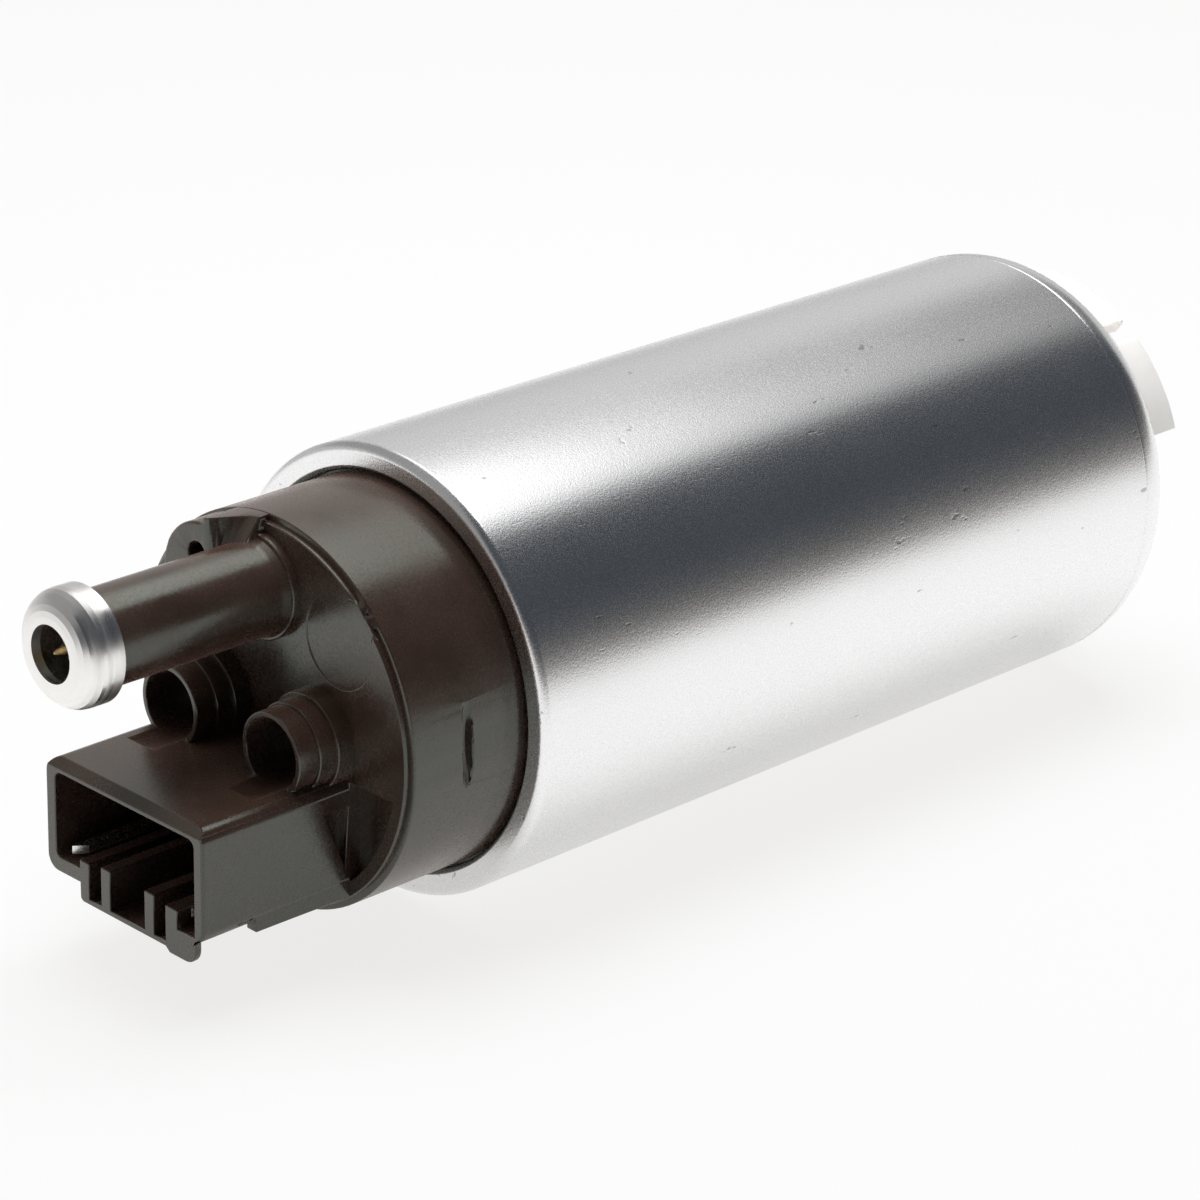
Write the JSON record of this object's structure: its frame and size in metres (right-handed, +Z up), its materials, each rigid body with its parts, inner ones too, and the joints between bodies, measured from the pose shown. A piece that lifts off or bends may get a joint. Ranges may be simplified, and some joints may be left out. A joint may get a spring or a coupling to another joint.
{
  "type": "electric fuel pump",
  "caption": "Round in-tank electric fuel pump with a gerotor pump, brushed motor, hose outlet with check valve and wiring socket.",
  "frame": {"origin": "on the can's axis, midway between the can's two rolled ends", "axes": "+X along the can's axis towards the inlet, +Z up with the outlet tube above the wiring socket, +Y across the two brushes"},
  "size_m": [0.1182, 0.039, 0.039],
  "materials": {
    "steel_can": "satin",
    "black_plastic": "satin",
    "steel_tip": "satin",
    "white_plastic": "satin",
    "resin": "matte",
    "insulation": "matte",
    "carbon": "matte",
    "rubber": "matte",
    "brass": "satin",
    "bronze": "matte",
    "copper": "gloss",
    "tinned_brass": "gloss",
    "spring_steel": "gloss",
    "turned_steel": "gloss",
    "sheet_steel": "satin",
    "sintered_steel": "matte",
    "ferrite": "matte",
    "aluminium": "satin"
  },
  "bodies": {
    "housing": {"can": "steel_can", "outlet_cover": "black_plastic", "outlet_cover_seal": "rubber", "outlet_ferrule": "steel_tip", "check_valve_guide": "white_plastic", "check_valve_spring": "spring_steel", "relief_valve_seat": "brass", "relief_valve_spring": "spring_steel", "terminal_left": "tinned_brass", "terminal_right": "tinned_brass", "brush_spring_left": "spring_steel", "brush_spring_right": "spring_steel", "front_bearing": "bronze", "rear_bearing": "bronze", "flux_ring": "sheet_steel", "magnet_left": "ferrite", "magnet_right": "ferrite", "magnet_clips": "spring_steel", "pump_ring": "sintered_steel", "outlet_plate": "aluminium", "inlet_plate": "aluminium", "dowel_pins": "turned_steel", "thrust_pad": "turned_steel", "inlet_cover": "white_plastic", "inlet_cover_seal": "rubber"},
    "armature": {"armature_shaft": "turned_steel", "armature_core": "sheet_steel", "core_insulators": "insulation", "armature_winding": "copper", "commutator_bars": "copper", "commutator_base": "resin", "thrust_washers": "white_plastic", "drive_coupling": "white_plastic", "inner_rotor": "sintered_steel"},
    "lobed_ring": {"outer_rotor": "sintered_steel"},
    "check_poppet": {"check_valve_poppet": "brass", "check_valve_seal": "rubber"},
    "relief_ball": {"relief_valve_ball": "turned_steel"},
    "left_brush": {"brush_left": "carbon"},
    "right_brush": {"brush_right": "carbon"}
  },
  "joints": [
    {"name": "armature_spin", "type": "hinge", "parent": "housing", "child": "armature", "pos_m": [0, 0, 0], "axis": [1, 0, 0], "continuous": true},
    {"name": "outer_rotor_spin", "type": "hinge", "parent": "housing", "child": "lobed_ring", "pos_m": [0.0265, 0.0009, 0], "axis": [1, 0, 0], "continuous": true},
    {"name": "check_valve_lift", "type": "slide", "parent": "housing", "child": "check_poppet", "axis": [-1, 0, 0], "range_m": [0, 0.0015], "stiffness_N_per_m": 150, "springref_m": -0.002, "deforming": ["check_valve_spring"]},
    {"name": "relief_valve_lift", "type": "slide", "parent": "housing", "child": "relief_ball", "axis": [-1, 0, 0], "range_m": [0, 0.0008], "stiffness_N_per_m": 500, "springref_m": -0.004, "deforming": ["relief_valve_spring"]},
    {"name": "brush_left_slide", "type": "slide", "parent": "housing", "child": "left_brush", "axis": [-1, 0, 0], "range_m": [0, 0.002], "stiffness_N_per_m": 100, "springref_m": -0.005, "deforming": ["brush_spring_left"]},
    {"name": "brush_right_slide", "type": "slide", "parent": "housing", "child": "right_brush", "axis": [-1, 0, 0], "range_m": [0, 0.002], "stiffness_N_per_m": 100, "springref_m": -0.005, "deforming": ["brush_spring_right"]}
  ],
  "couplings": [
    {"joint": "outer_rotor_spin", "follows": "armature_spin", "ratio": 0.85714}
  ]
}
